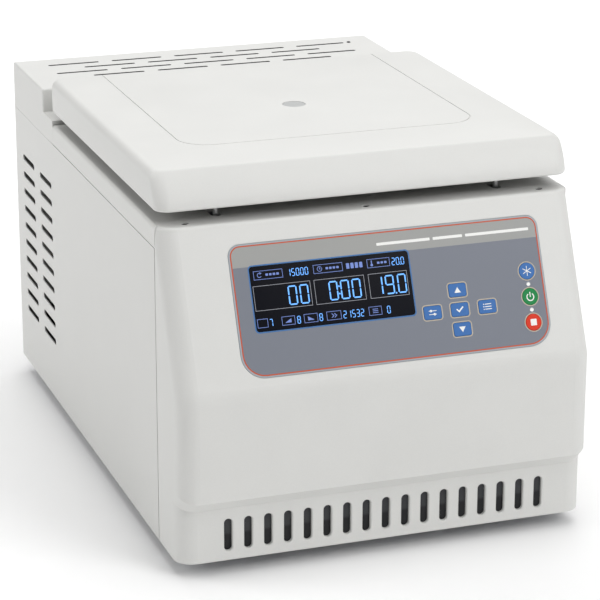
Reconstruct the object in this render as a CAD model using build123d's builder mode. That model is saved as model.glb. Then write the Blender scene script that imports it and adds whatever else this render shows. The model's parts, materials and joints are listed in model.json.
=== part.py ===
from build123d import *
import math
import os

# Refrigerated benchtop centrifuge. Millimetres, +X right, +Y to the back, +Z up.
# The origin is under the middle of the machine, on the surface that it stands on.

os.makedirs("parts", exist_ok=True)

# ---------------------------------------------------------------- driving dimensions
WIDTH = 400.0
DEPTH = 610.0
HEIGHT = 365.0
HALF = WIDTH / 2
FRONT = -DEPTH / 2
REAR = DEPTH / 2

FOOT = 15.0            # height of the rubber feet
SEAM_Z = 297.0         # top of the side panels
SEAM_Y = -232.0        # front edge of the side panels
DECK_Z = 318.0         # surface round the chamber mouth
LEDGE_Z = 322.0        # step behind the lid
HOOD_Z = 345.8         # top of the rear housing
LEDGE_Y = 138.0
HOOD_Y = 177.5
HOOD_EDGE_R = 2.0
SHEET = 2.0            # steel sheet
SIDE_SHEET = 1.2       # side panels
WALL = 3.5             # moulded wall
GAP = 0.3              # air between parts of different bodies
SEAM_GAP = 0.9         # shadow line over the side panels
FRONT_GAP = 1.8        # and in front of them

# front cover
KNEE_Z = 176.0
KNEE_R = 30.0
BROW_Y = -243.0        # top edge of the slanted face
SKIRT_Y = FRONT + 11
SKIRT_Z = 66.0
LIP_Z = 77.0
LIP_R = 32.0
CORNER_R = 18.0
EDGE_R = 3.5
STRIP_Y = -222.0       # rear edge of the cover's top strip
SLOPE = (BROW_Y - FRONT) / (DECK_Z - KNEE_Z)
LEAN = math.atan(SLOPE)

# lid
LID_BOTTOM = 331.0
LID_HALF = 199.5
LID_REAR = 148.0
LID_BROW_Y = -219.5    # crease where the top turns down into the front
LID_BROW_TURN = 37.0   # slope of the front just below the crease, in degrees
LID_BROW_R = 55.0      # bulge of the front
LID_CREASE_R = 5.0
LID_EDGE_R = 8.0
LID_HEM_R = 4.0
LID_CORNER_R = 13.0
LID_WALL = 3.0
HINGE_Y = 200.0
HINGE_Z = 332.0
HINGE_X = 110.0
PIN_R = 4.0
RUNNING = 0.05         # radial clearance of a running fit

# chamber, motor and rotor, all on one upright axis
AXIS_Y = -33.0
BOWL_R = 125.0
BOWL_FLOOR = 150.0
SPINDLE_R = 8.0
ROTOR_FLOOR = 172.0
ROTOR_TOP = 262.0
MOUTH_R = 38.0         # pitch radius of the tube mouths
TUBE_R = 14.8
TUBE_TILT = 30.0
TUBE_DEPTH = 70.0
TUBES = 6

# latches
LATCH_X = 137.0
LATCH_Y = -212.0
LATCH_PIVOT_X = 115.0
STRIKER_R = 2.5

# control panel, in the slanted face's own plane: x to the right, s down from its top edge
PANEL_X, PANEL_S = 11.0, 80.5
PANEL_W, PANEL_H = 300.0, 121.0
PANEL_RECESS = 1.2
PANEL_PROUD = 0.3
WINDOW_X, WINDOW_S = -45.5, 70.5
WINDOW_W, WINDOW_H = 152.0, 59.0
KEY_W, KEY_H = 17.2, 12.3
ROUND_KEY_R = 7.7
KEY_TOP = 0.8          # above the slanted face
KEY_FIT = 0.3
OBLONG_KEYS = {
    "key_up": (73.6, 82.0),
    "key_enter": (73.6, 100.0),
    "key_down": (73.6, 118.0),
    "key_set": (46.9, 100.0),
    "key_prog": (100.8, 100.0),
}
ROUND_KEYS = {
    "key_fast_temp": (144.3, 71.5),
    "key_start": (144.3, 95.3),
    "key_stop": (144.3, 119.2),
}
LED_X = 144.3
LED_S = (84.1, 107.9)
LED_R = 1.9

# refrigeration and rear panel
REAR_PANEL_Y = 301.0
COMPRESSOR_X, COMPRESSOR_Y, COMPRESSOR_R = -105.0, 222.0, 50.0
FAN_X, FAN_Z, FAN_SIZE = 80.0, 130.0, 120.0
FAN_FRONT, FAN_BACK = 272.0, 297.0
INLET_X, SWITCH_X, SOCKET_Z = -160.0, -112.0, 62.0

FACE = Plane(
    origin=(0, BROW_Y, DECK_Z), x_dir=(1, 0, 0), z_dir=(0, -math.cos(LEAN), math.sin(LEAN))
)
SKIRT = Plane(origin=(0, SKIRT_Y, 0), x_dir=(1, 0, 0), z_dir=(0, -1, 0))
BACK = Plane(origin=(0, REAR_PANEL_Y, 0), x_dir=(-1, 0, 0), z_dir=(0, 1, 0))


# ---------------------------------------------------------------- helpers
def save(piece, name):
    """Labels a finished piece and writes it."""
    piece.part.label = name
    export_step(piece.part, f"parts/{name}.step")


def turned(outline, x=0.0, y=AXIS_Y):
    """Solid of revolution about an upright axis, from (radius, height) corners."""
    with BuildPart() as solid:
        with BuildSketch(Plane(origin=(x, y, 0), x_dir=(1, 0, 0), z_dir=(0, -1, 0))):
            with BuildLine():
                Polyline(*outline, close=True)
            make_face()
        revolve(axis=Axis((x, y, 0), (0, 0, 1)))
    return solid


def block(x, y, z):
    """Axis-aligned box between two values on each axis, made on its own."""
    size = [abs(b - a) for a, b in (x, y, z)]
    middle = [(a + b) / 2 for a, b in (x, y, z)]
    return Pos(*middle) * Box(*size, mode=Mode.PRIVATE)


def post(radius, x, y, z):
    """Upright cylinder between two heights, made on its own."""
    return Pos(x, y, (z[0] + z[1]) / 2) * Cylinder(radius, z[1] - z[0], mode=Mode.PRIVATE)


def on_face(n):
    """The slanted face's plane, moved outwards by n."""
    return FACE.offset(n)


def both_sides(x):
    return (-x, x)


# ---------------------------------------------------------------- base, feet and panels
PAN_HALF = HALF - WALL - 0.5
PAN_CORNER_R = 17.0
PAN_FRONT, PAN_REAR = -286.0, 298.0
PAN_Z = FOOT + SHEET
PAN_WALL = 24.0
FEET = [(x, y) for x in (-160, 160) for y in (-230, 255)]
FOOT_SCREW_R = 2.8

with BuildPart() as base_pan:
    with BuildSketch(Plane.XY.offset(FOOT)) as tray:
        with Locations((0, (PAN_FRONT + PAN_REAR) / 2)):
            Rectangle(2 * PAN_HALF, PAN_REAR - PAN_FRONT)
        fillet(tray.vertices().group_by(Axis.Y)[0], PAN_CORNER_R)
    extrude(amount=PAN_WALL)
    offset(amount=-SHEET, openings=base_pan.faces().sort_by(Axis.Z)[-1])
    with BuildSketch(Plane.XY.offset(FOOT)):
        with Locations(*FEET):
            Circle(FOOT_SCREW_R - 0.2)
        with Locations((80, 220)):
            with GridLocations(12, 0, 8, 1):
                SlotOverall(60, 5, rotation=90)
    extrude(amount=SHEET, mode=Mode.SUBTRACT)
save(base_pan, "base_pan")

with BuildPart() as rubber_feet:
    for x, y in FEET:
        outline = [(FOOT_SCREW_R, FOOT), (17, FOOT), (18, 12), (15.5, 0), (7, 0), (7, 5)]
        add(turned(outline + [(FOOT_SCREW_R, 5)], x, y))
save(rubber_feet, "rubber_feet")


LIP = 14.0             # folded edges of the side panels
SIDE_SLOT, SIDE_SLOT_H = 49.5, 6.4
SIDE_SLOTS_Y, SIDE_SLOTS_Z = 211.8, 164.5
SIDE_COLUMN, SIDE_ROW = 74.1, 18.9


def side_panel(side):
    """Steel side panel with folded lips and two columns of air slots."""
    skin = (side * HALF, side * (HALF - SIDE_SHEET))
    lip = (side * (HALF - SIDE_SHEET), side * (HALF - LIP))
    with BuildPart() as panel:
        add(block(skin, (SEAM_Y + FRONT_GAP, REAR), (FOOT, SEAM_Z)))
        add(block(lip, (SEAM_Y + LIP, LEDGE_Y - 6), (SEAM_Z - SIDE_SHEET, SEAM_Z)))
        add(block(lip, (REAR - SIDE_SHEET, REAR), (FOOT + 26, SEAM_Z)))
        slots = Plane(origin=(side * HALF, 0, 0), x_dir=(0, 1, 0), z_dir=(1, 0, 0))
        with BuildSketch(slots):
            with Locations((SIDE_SLOTS_Y, SIDE_SLOTS_Z)):
                with GridLocations(SIDE_COLUMN, SIDE_ROW, 2, 10):
                    SlotOverall(SIDE_SLOT, SIDE_SLOT_H)
        extrude(amount=SHEET, both=True, mode=Mode.SUBTRACT)
    return panel


save(side_panel(-1), "left_side_panel")
save(side_panel(1), "right_side_panel")

with BuildPart() as rear_panel:
    add(
        block(
            (-HALF + SIDE_SHEET + GAP, HALF - SIDE_SHEET - GAP),
            (REAR_PANEL_Y - SHEET, REAR_PANEL_Y),
            (FOOT, SEAM_Z - GAP),
        )
    )
    with BuildSketch(BACK):
        with Locations((-FAN_X, FAN_Z)):
            Circle(FAN_SIZE / 2 - 2)
        with Locations((-INLET_X, SOCKET_Z)):
            Rectangle(28, 21)
        with Locations((-SWITCH_X, SOCKET_Z)):
            Rectangle(20, 28)
        with Locations((-80, 250), (100, 250)):
            with GridLocations(14, 0, 8, 1):
                SlotOverall(40, 4.5, rotation=90)
    extrude(amount=-SHEET, mode=Mode.SUBTRACT)
save(rear_panel, "rear_panel")


# ---------------------------------------------------------------- front cover
DECK_SCREW_X = (-172, 0, 172)
DECK_SCREW_SINK = 2.4
SKIRT_R = 1.5
SKIRT_SLOT, SKIRT_SLOT_W, SKIRT_PITCH, SKIRT_SLOT_Z = 31.5, 7.8, 19.1, 39.5
SKIRT_SLOTS = 17
PANEL_TOP_R, PANEL_BOTTOM_R = 11.0, 22.0


def cover_block(wall, rear, bottom):
    """Outside of the front cover (wall 0), or the hollow that leaves it that thick."""
    shift = wall / math.cos(LEAN)
    knee_z = KNEE_Z + (wall - shift) / SLOPE
    top_z = DECK_Z - wall
    top_y = FRONT + shift + (top_z - KNEE_Z) * SLOPE
    half = HALF - wall
    with BuildPart() as solid:
        with BuildSketch(Plane.YZ) as side:
            with BuildLine():
                Polyline(
                    (rear, bottom),
                    (SKIRT_Y + wall, bottom),
                    (SKIRT_Y + wall, SKIRT_Z),
                    (FRONT + wall, LIP_Z + wall),
                    (FRONT + wall, knee_z),
                    (top_y, top_z),
                    (rear, top_z),
                    close=True,
                )
            make_face()
            corners = side.vertices()
            fillet(corners.sort_by_distance((FRONT + wall, knee_z))[0], KNEE_R - wall)
            fillet(corners.sort_by_distance((FRONT + wall, LIP_Z + wall))[0], LIP_R - wall)
            fillet(corners.sort_by_distance((SKIRT_Y + wall, SKIRT_Z))[0], SKIRT_R + wall)
        extrude(amount=half, both=True)
        ends = [e for e in solid.edges() if abs(abs(e.center().X) - half) < 0.01]
        level = [e for e in ends if e.geom_type == GeomType.LINE and abs((e % 0).Y) > 0.99]
        bends = [e for e in ends if e not in level and e.center().Y < SEAM_Y - 2]
        fillet(bends, CORNER_R - wall)
    return solid


with BuildPart() as front_cover:
    add(cover_block(0, STRIP_Y, FOOT))
    rim = front_cover.edges().filter_by(lambda e: abs(e.center().Z - DECK_Z) < 0.01)
    fillet(rim.filter_by(lambda e: e.center().Y < STRIP_Y - 0.5), EDGE_R)
    add(cover_block(WALL, STRIP_Y + 10, FOOT - 10), mode=Mode.SUBTRACT)
    add(
        block((-HALF - 1, HALF + 1), (SEAM_Y, STRIP_Y + 1), (0, DECK_Z - WALL)),
        mode=Mode.SUBTRACT,
    )
    for side in (-1, 1):
        add(
            block((side * (HALF - 3.4), side * (HALF + 1)), (SEAM_Y, STRIP_Y + 1), (300, 320)),
            mode=Mode.SUBTRACT,
        )
    with BuildSketch(SKIRT):
        with Locations((0, SKIRT_SLOT_Z)):
            with GridLocations(SKIRT_PITCH, 0, SKIRT_SLOTS, 1):
                SlotOverall(SKIRT_SLOT, SKIRT_SLOT_W, rotation=90)
    extrude(amount=-WALL - 1, mode=Mode.SUBTRACT)
    mouths = front_cover.edges().filter_by(lambda e: abs(e.center().Y - SKIRT_Y) < 0.01)
    reach = SKIRT_SLOTS * SKIRT_PITCH / 2
    mouths = mouths.filter_by(lambda e: 22 < e.center().Z < 57 and abs(e.center().X) < reach)
    chamfer(mouths, 0.9)
    with BuildSketch(FACE) as recess:
        with Locations((PANEL_X, -PANEL_S)):
            Rectangle(PANEL_W + 0.6, PANEL_H + 0.6)
        fillet(recess.vertices().group_by(Axis.Y)[-1], PANEL_TOP_R + 0.3)
        fillet(recess.vertices().group_by(Axis.Y)[0], PANEL_BOTTOM_R + 0.3)
    extrude(amount=-PANEL_RECESS, mode=Mode.SUBTRACT)
    with BuildSketch(FACE):
        with Locations((WINDOW_X, -WINDOW_S)):
            Rectangle(WINDOW_W - 4, WINDOW_H - 4)
        with Locations((73.8, -100)):
            RectangleRounded(78, 55, 3)
        with Locations((LED_X, -95.5)):
            RectangleRounded(21, 68, 3)
    extrude(amount=-WALL - 1, mode=Mode.SUBTRACT)
    with Locations(*[(x, SEAM_Y, DECK_Z) for x in DECK_SCREW_X]):
        CounterBoreHole(
            radius=1.7, counter_bore_radius=3.8, counter_bore_depth=DECK_SCREW_SINK, depth=6
        )
save(front_cover, "front_cover")

with BuildPart() as air_filter:
    add(block((-168, 168), (SKIRT_Y + WALL + 0.2, PAN_FRONT - 0.5), (22, 58)))
save(air_filter, "air_filter")

# ---------------------------------------------------------------- deck and rear housing
DECK_WALL = 3.0
with BuildPart() as top_deck:
    add(block((-HALF, HALF), (SEAM_Y + GAP, LEDGE_Y - GAP), (SEAM_Z + SEAM_GAP, DECK_Z)))
    long_edges = top_deck.edges().filter_by(Axis.Y).group_by(Axis.Z)[-1]
    fillet(long_edges, EDGE_R)
    add(
        block(
            (-HALF + DECK_WALL, HALF - DECK_WALL),
            (SEAM_Y - 1, LEDGE_Y + 1),
            (SEAM_Z - 1, DECK_Z - DECK_WALL),
        ),
        mode=Mode.SUBTRACT,
    )
    add(
        block((-HALF + DECK_WALL, HALF - DECK_WALL), (SEAM_Y - 1, STRIP_Y + GAP), (300, 320)),
        mode=Mode.SUBTRACT,
    )
    add(block((-185, 185), (-238, STRIP_Y + 7), (311, DECK_Z - WALL - 0.1)))
    add(block((-185, 185), (STRIP_Y + GAP, STRIP_Y + 7), (311, DECK_Z - 1)))
    with BuildSketch(Plane.XY.offset(DECK_Z + 1)):
        with Locations((0, AXIS_Y)):
            Circle(BOWL_R + 10)
        with Locations((-LATCH_X, -207), (LATCH_X, -207)):
            SlotOverall(24, 9.5, rotation=90)
        with Locations(*[(x, SEAM_Y) for x in DECK_SCREW_X]):
            Circle(1.4)
    extrude(amount=-12, mode=Mode.SUBTRACT)
save(top_deck, "top_deck")


HOOD_SCREW = (171.0, 276.0)
HOOD_ROWS = ((276, 5), (257.5, 4), (238.5, 5), (219.5, 4))
HOOD_SLOT, HOOD_SLOT_W, HOOD_PITCH = 55.4, 4.4, 69.7


def housing_block(wall, bottom):
    """Outside of the rear housing (wall 0), or its hollow."""
    with BuildPart() as solid:
        with BuildSketch(Plane.YZ):
            with BuildLine():
                Polyline(
                    (LEDGE_Y + wall, bottom),
                    (LEDGE_Y + wall, LEDGE_Z - wall),
                    (HOOD_Y + wall, LEDGE_Z - wall),
                    (HOOD_Y + wall, HOOD_Z - wall),
                    (REAR - wall, HOOD_Z - wall),
                    (REAR - wall, bottom),
                    close=True,
                )
            make_face()
        extrude(amount=HALF - wall, both=True)
    return solid


with BuildPart() as rear_housing:
    add(housing_block(0, SEAM_Z + GAP))
    hood = rear_housing.edges().filter_by(
        lambda e: e.center().Z > LEDGE_Z + 5 and e.center().Y > HOOD_Y - 1
    )
    fillet(hood, HOOD_EDGE_R)
    add(housing_block(DECK_WALL, SEAM_Z - 5), mode=Mode.SUBTRACT)
    with BuildSketch(Plane.XY.offset(HOOD_Z + 1)):
        for row_y, count in HOOD_ROWS:
            with Locations((-2, row_y)):
                with GridLocations(HOOD_PITCH, 0, count, 1):
                    SlotOverall(HOOD_SLOT, HOOD_SLOT_W)
        with Locations(HOOD_SCREW):
            Circle(1.4)
    extrude(amount=-8, mode=Mode.SUBTRACT)
    for x in both_sides(HINGE_X):
        add(block((x - 5, x + 5), (HOOD_Y - 2, 214), (LEDGE_Z, HOOD_Z + 1)), mode=Mode.SUBTRACT)
save(rear_housing, "rear_housing")

# ---------------------------------------------------------------- screws
DECK_SCREW_Z = DECK_Z - DECK_SCREW_SINK
BACK_SCREWS = [(x, z) for x in (-180, 0, 180) for z in (32, 284)] + [(-180, 160), (180, 160)]


def screw(place, seat, head_r, head_h):
    """Upright pan head screw whose head sits on the height seat."""
    shank_r, length = 1.3, 6.5
    return turned(
        [
            (0, seat - length),
            (shank_r, seat - length),
            (shank_r, seat),
            (head_r, seat),
            (head_r, seat + 0.6 * head_h),
            (0.7 * head_r, seat + head_h),
            (0, seat + head_h),
        ],
        *place,
    )


with BuildPart() as case_screws:
    for x in DECK_SCREW_X:
        add(screw((x, SEAM_Y), DECK_SCREW_Z, 3.2, 1.7))
    add(screw(HOOD_SCREW, HOOD_Z, 2.0, 1.0))
    with BuildSketch(BACK):
        with Locations(*[(-x, z) for x, z in BACK_SCREWS]):
            Circle(3.4)
    extrude(amount=2.2)
    for x in DECK_SCREW_X:
        recess = (DECK_SCREW_Z + 1, DECK_SCREW_Z + 2)
        for long_x, long_y in ((2, 0.4), (0.4, 2)):
            arm = block((x - long_x, x + long_x), (SEAM_Y - long_y, SEAM_Y + long_y), recess)
            add(arm, mode=Mode.SUBTRACT)
save(case_screws, "case_screws")


# ---------------------------------------------------------------- lid
BROW_TURN = math.radians(LID_BROW_TURN)
BULGE_Y = LID_BROW_Y + LID_BROW_R * math.sin(BROW_TURN)
BULGE_Z = HEIGHT - LID_BROW_R * math.cos(BROW_TURN)
CREASE_Y = LID_BROW_Y + LID_CREASE_R * math.tan(BROW_TURN / 2)
CREASE_Z = HEIGHT - LID_CREASE_R * (1 - math.cos(BROW_TURN))


def arc_run(radius, rise):
    """How far across a circle of that radius a point lies at that rise from its centre."""
    return math.sqrt(radius**2 - rise**2)


def lid_front(z):
    """Front of the lid at height z: a bulging face under a small rounded crease."""
    if z > CREASE_Z:
        return CREASE_Y - arc_run(LID_CREASE_R, z - HEIGHT + LID_CREASE_R)
    return BULGE_Y - arc_run(LID_BROW_R, z - BULGE_Z)


def lid_outline(z):
    """Half width, front, rear and corner radius of the lid at height z."""
    side = LID_EDGE_R - arc_run(LID_EDGE_R, max(0.0, z - HEIGHT + LID_EDGE_R))
    hem = LID_HEM_R - arc_run(LID_HEM_R, max(0.0, LID_BOTTOM + LID_HEM_R - z))
    return LID_HALF - side - hem / 2, lid_front(z) + hem, LID_REAR - side, LID_CORNER_R - side / 2


def lid_heights():
    """Section heights: the hem, the bulging face and the rounded top edge."""
    hem = [LID_BOTTOM + LID_HEM_R * (1 - math.cos(math.radians(a))) for a in (0, 30, 60, 90)]
    face = [HEIGHT - LID_EDGE_R - step for step in (17, 12, 7, 3, 0)]
    edge = [HEIGHT - LID_EDGE_R * (1 - math.sin(math.radians(a))) for a in range(10, 91, 10)]
    return hem + face + edge


def lid_block(inset, drop):
    """Lid's outside, or its hollow, moved in by inset and down by drop."""
    with BuildPart() as solid:
        for z in lid_heights():
            half, front, rear, radius = lid_outline(z)
            length = rear - front - 2 * inset
            with BuildSketch(Plane.XY.offset(z - drop)):
                with Locations((0, (front + rear) / 2)):
                    RectangleRounded(2 * (half - inset), length, radius - inset / 2)
        loft(ruled=True)
    return solid


LINER_Z = LID_BOTTOM + 0.5
PLATE_Z = 336.0
ARM_Z = PLATE_Z + SHEET
PORT_R = 11.25
GROOVE_Y, GROOVE_HALF, GROOVE_R = (-151.0, 200.0), 146.5, 30.0   # runs out at the lid's rear edge
GROOVE_W, GROOVE_DEEP = 1.1, 0.7

with BuildPart() as lid_shell:
    add(lid_block(0, 0))
    add(lid_block(LID_WALL, LID_WALL), mode=Mode.SUBTRACT)
    with BuildSketch(Plane.XY.offset(HEIGHT)):
        length = GROOVE_Y[1] - GROOVE_Y[0]
        with Locations((0, sum(GROOVE_Y) / 2)):
            RectangleRounded(2 * GROOVE_HALF, length, GROOVE_R)
            RectangleRounded(
                2 * (GROOVE_HALF - GROOVE_W),
                length - 2 * GROOVE_W,
                GROOVE_R - GROOVE_W,
                mode=Mode.SUBTRACT,
            )
    extrude(amount=-GROOVE_DEEP, mode=Mode.SUBTRACT)
    with BuildSketch(Plane.XY.offset(HEIGHT)):
        with Locations((0, AXIS_Y)):
            Circle(PORT_R + 0.15)
    extrude(amount=-8, mode=Mode.SUBTRACT)
    for x in both_sides(HINGE_X):
        notch = block((x - 5, x + 5), (LID_REAR - 6, LID_REAR + 2), (LID_BOTTOM - 4, 347))
        add(notch, mode=Mode.SUBTRACT)
save(lid_shell, "lid_shell")

with BuildPart() as lid_window:
    add(
        turned(
            [
                (0, HEIGHT - 6.4),
                (14, HEIGHT - 6.4),
                (14, HEIGHT - LID_WALL - 0.1),
                (PORT_R, HEIGHT - LID_WALL - 0.1),
                (PORT_R, HEIGHT - 0.9),
                (PORT_R - 0.6, HEIGHT - 0.3),
                (0, HEIGHT - 0.3),
            ]
        )
    )
save(lid_window, "lid_window")

with BuildPart() as lid_liner:
    with BuildSketch(Plane.XY.offset(LINER_Z)):
        with Locations((0, -40)):
            RectangleRounded(382, 364, 12)
    extrude(amount=3)
    add(turned([(0, 327.3), (140, 327.3), (149, 329), (150, LINER_Z), (0, LINER_Z)]))
    with BuildSketch(Plane.XY.offset(320)):
        with Locations((0, AXIS_Y)):
            Circle(10)
        with Locations(*[(x, LATCH_Y) for x in both_sides(LATCH_X)]):
            Circle(STRIKER_R + 0.2)
    extrude(amount=20, mode=Mode.SUBTRACT)
save(lid_liner, "lid_liner")

with BuildPart() as lid_plate:
    with BuildSketch(Plane.XY.offset(PLATE_Z)):
        with Locations((0, -39)):
            RectangleRounded(340, 358, 12)
        with Locations((0, AXIS_Y)):
            Circle(15, mode=Mode.SUBTRACT)
    extrude(amount=SHEET)
save(lid_plate, "lid_plate")

with BuildPart() as striker_pins:
    for x in both_sides(LATCH_X):
        add(
            turned(
                [
                    (0, 297),
                    (1, 297),
                    (STRIKER_R, 300),
                    (STRIKER_R, 301.5),
                    (1.6, 302),
                    (1.6, 307),
                    (STRIKER_R, 307.5),
                    (STRIKER_R, 326),
                    (6, 326),
                    (6, 329),
                    (STRIKER_R, 329),
                    (STRIKER_R, PLATE_Z),
                    (0, PLATE_Z),
                ],
                x,
                LATCH_Y,
            )
        )
save(striker_pins, "striker_pins")

with BuildPart() as hinge_arms:
    for x in both_sides(HINGE_X):
        with BuildSketch(Plane.YZ.offset(x)):
            with BuildLine():
                Polyline(
                    (88, ARM_Z),
                    (88, ARM_Z + 6),
                    (204, ARM_Z + 3.5),
                    (204, 326),
                    (186, ARM_Z),
                    close=True,
                )
            make_face()
            with Locations((HINGE_Y, HINGE_Z)):
                Circle(8.5)
            with Locations((HINGE_Y, HINGE_Z)):
                Circle(PIN_R + RUNNING, mode=Mode.SUBTRACT)
        extrude(amount=3, both=True)
        add(block((x - 12, x + 12), (88, 139), (ARM_Z, ARM_Z + 2.5)))
save(hinge_arms, "hinge_arms")

# ---------------------------------------------------------------- hinge, on the chassis
BAR_Z = 303.0
with BuildPart() as rear_crossbar:
    add(block((-194, 194), (188, 228), (BAR_Z - 3, BAR_Z)))
    add(block((-194, 194), (188, 191), (BAR_Z - 26, BAR_Z - 3)))
    add(block((-194, 194), (225, 228), (BAR_Z - 26, BAR_Z - 3)))
save(rear_crossbar, "rear_crossbar")

with BuildPart() as hinge_brackets:
    for x in both_sides(HINGE_X):
        add(block((x - 16, x + 16), (190, 222), (BAR_Z, BAR_Z + 3)))
        for ear_x in (x - 5, x + 5):
            with BuildSketch(Plane.YZ.offset(ear_x)):
                with BuildLine():
                    Polyline(
                        (191, BAR_Z + 3),
                        (221, BAR_Z + 3),
                        (208, HINGE_Z),
                        (192, HINGE_Z),
                        close=True,
                    )
                make_face()
                with Locations((HINGE_Y, HINGE_Z)):
                    Circle(8)
                with Locations((HINGE_Y, HINGE_Z)):
                    Circle(PIN_R, mode=Mode.SUBTRACT)
            extrude(amount=1.5, both=True)
save(hinge_brackets, "hinge_brackets")

with BuildPart() as hinge_pins:
    for side in (-1, 1):
        with BuildSketch(Plane.YZ.offset(side * (HINGE_X - 9))):
            with Locations((HINGE_Y, HINGE_Z)):
                Circle(PIN_R)
        extrude(amount=side * 48)
        with BuildSketch(Plane.YZ.offset(side * (HINGE_X - 9))):
            with Locations((HINGE_Y, HINGE_Z)):
                Circle(6.5)
        extrude(amount=-side * 2.5)
save(hinge_pins, "hinge_pins")

SPRING_R, WIRE_R = 6.6, 1.2
SPRING_PITCH, SPRING_LENGTH = 3.2, 22.4
with BuildPart() as torsion_springs:
    for x in (HINGE_X + 9, -HINGE_X - 9 - SPRING_LENGTH):
        with BuildLine():
            coil = Helix(
                pitch=SPRING_PITCH,
                height=SPRING_LENGTH,
                radius=SPRING_R,
                center=(x, HINGE_Y, HINGE_Z),
                direction=(1, 0, 0),
            )
        with BuildSketch(Plane(origin=coil @ 0, z_dir=coil % 0)):
            Circle(WIRE_R)
        sweep(path=coil)
save(torsion_springs, "torsion_springs")

# ---------------------------------------------------------------- latches
HOOK_Z = (303.2, 305.8)
with BuildPart() as latch_bodies:
    for side in (-1, 1):
        add(block((side * 98, side * 152), (-226, -198), (268, 300)))
        add(post(3, side * LATCH_PIVOT_X, LATCH_Y, (300, 308)))
        for y in (-223, -201):
            add(post(2.5, side * 101.5, y, (300, 311)))
            add(post(2.5, side * 149, y, (300, 311)))
        add(post(4.5, side * LATCH_X, LATCH_Y, (288, 301)), mode=Mode.SUBTRACT)
save(latch_bodies, "latch_bodies")

REACH = LATCH_X - LATCH_PIVOT_X
OPEN_TURN = 32.0


def latch_hook(side):
    """Fork plate that swings its slot round the striker's neck; modelled swung clear."""
    with BuildPart() as hook:
        pivot = Plane(
            origin=(side * LATCH_PIVOT_X, LATCH_Y, HOOK_Z[0]), x_dir=(side, 0, 0), z_dir=(0, 0, side)
        )
        with BuildSketch(pivot.rotated((0, 0, OPEN_TURN))):
            Circle(6.5)
            with Locations((REACH / 2, 0)):
                Rectangle(REACH, 8)
            with Locations((REACH, 0)):
                Circle(5.4)
            with BuildLine():
                lead = math.radians(-24)
                inner, outer = REACH - 1.9, REACH + 1.9
                first = RadiusArc(
                    (inner, 0), (inner * math.cos(lead), inner * math.sin(lead)), inner
                )
                last = RadiusArc(
                    (outer * math.cos(lead), outer * math.sin(lead)), (outer, 0), -outer
                )
                Line(first @ 1, last @ 0)
                Line(last @ 1, first @ 0)
            make_face(mode=Mode.SUBTRACT)
            with Locations((REACH, 0)):
                Circle(1.9, mode=Mode.SUBTRACT)
            Circle(3 + RUNNING, mode=Mode.SUBTRACT)
        extrude(amount=side * (HOOK_Z[1] - HOOK_Z[0]))
    return hook


save(latch_hook(-1), "left_latch_hook")
save(latch_hook(1), "right_latch_hook")

# ---------------------------------------------------------------- chamber
STEEL = 1.5
HUB_HOLE_R = 26.0
FLANGE_R = BOWL_R + 9.5
COIL_PITCH, COIL_HEIGHT, COIL_R, COIL_LOW = 15.0, 120.0, 4.0, 175.0
FOAM_FLOOR, FOAM_TOP, FOAM_IN, FOAM_OUT = 138.0, 311.0, 137.0, 152.0
ARMOUR_IN, ARMOUR_OUT, ARMOUR_TOP = 154.0, 160.0, 312.0
with BuildPart() as chamber_bowl:
    add(
        turned(
            [
                (HUB_HOLE_R, BOWL_FLOOR),
                (BOWL_R - 8, BOWL_FLOOR),
                (BOWL_R + STEEL, BOWL_FLOOR + 10),
                (BOWL_R + STEEL, DECK_Z - STEEL),
                (FLANGE_R, DECK_Z - STEEL),
                (FLANGE_R, DECK_Z),
                (BOWL_R, DECK_Z),
                (BOWL_R, BOWL_FLOOR + 10.6),
                (BOWL_R - 8.6, BOWL_FLOOR + STEEL),
                (HUB_HOLE_R, BOWL_FLOOR + STEEL),
            ]
        )
    )
save(chamber_bowl, "chamber_bowl")

with BuildPart() as chamber_gasket:
    add(
        turned(
            [
                (BOWL_R + 6, DECK_Z),
                (BOWL_R + 21, DECK_Z),
                (BOWL_R + 19, DECK_Z + 5),
                (BOWL_R + 14, DECK_Z + 9),
                (BOWL_R + 8, DECK_Z + 8),
            ]
        )
    )
save(chamber_gasket, "chamber_gasket")

with BuildPart() as evaporator_coil:
    with BuildLine():
        winding = Helix(
            pitch=COIL_PITCH,
            height=COIL_HEIGHT,
            radius=BOWL_R + 6.2,
            center=(0, AXIS_Y, COIL_LOW),
        )
    with BuildSketch(Plane(origin=winding @ 0, z_dir=winding % 0)):
        Circle(COIL_R)
    sweep(path=winding)
save(evaporator_coil, "evaporator_coil")

with BuildPart() as insulation_shell:
    add(
        turned(
            [
                (HUB_HOLE_R + 4, FOAM_FLOOR),
                (FOAM_OUT, FOAM_FLOOR),
                (FOAM_OUT, FOAM_TOP),
                (FOAM_IN, FOAM_TOP),
                (FOAM_IN, BOWL_FLOOR - 1),
                (HUB_HOLE_R + 4, BOWL_FLOOR - 1),
            ]
        )
    )
save(insulation_shell, "insulation_shell")

with BuildPart() as armour_ring:
    add(
        turned(
            [
                (ARMOUR_IN, PAN_Z),
                (ARMOUR_OUT, PAN_Z),
                (ARMOUR_OUT, ARMOUR_TOP),
                (ARMOUR_IN, ARMOUR_TOP),
            ]
        )
    )
    for turn in range(6):
        place = Pos(0, AXIS_Y, 75) * Rot(0, 0, 60 * turn) * Pos((ARMOUR_IN + ARMOUR_OUT) / 2, 0, 0)
        add(place * Box(20, 90, 70, mode=Mode.PRIVATE), mode=Mode.SUBTRACT)
save(armour_ring, "armour_ring")

# ---------------------------------------------------------------- motor
MOUNT_R = 84.0
MOUNT_TURNS = (90, 210, 330)
MOUNT_Z = (94.0, 118.0)         # rubber mounts between bracket and motor flange
SEAT_R = 17.6                   # bearing seats in the motor housing
MOTOR_R, MOTOR_IN_R = 68.0, 61.0
MOTOR_BOTTOM = 30.0
BEARING_H = 11.0


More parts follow.
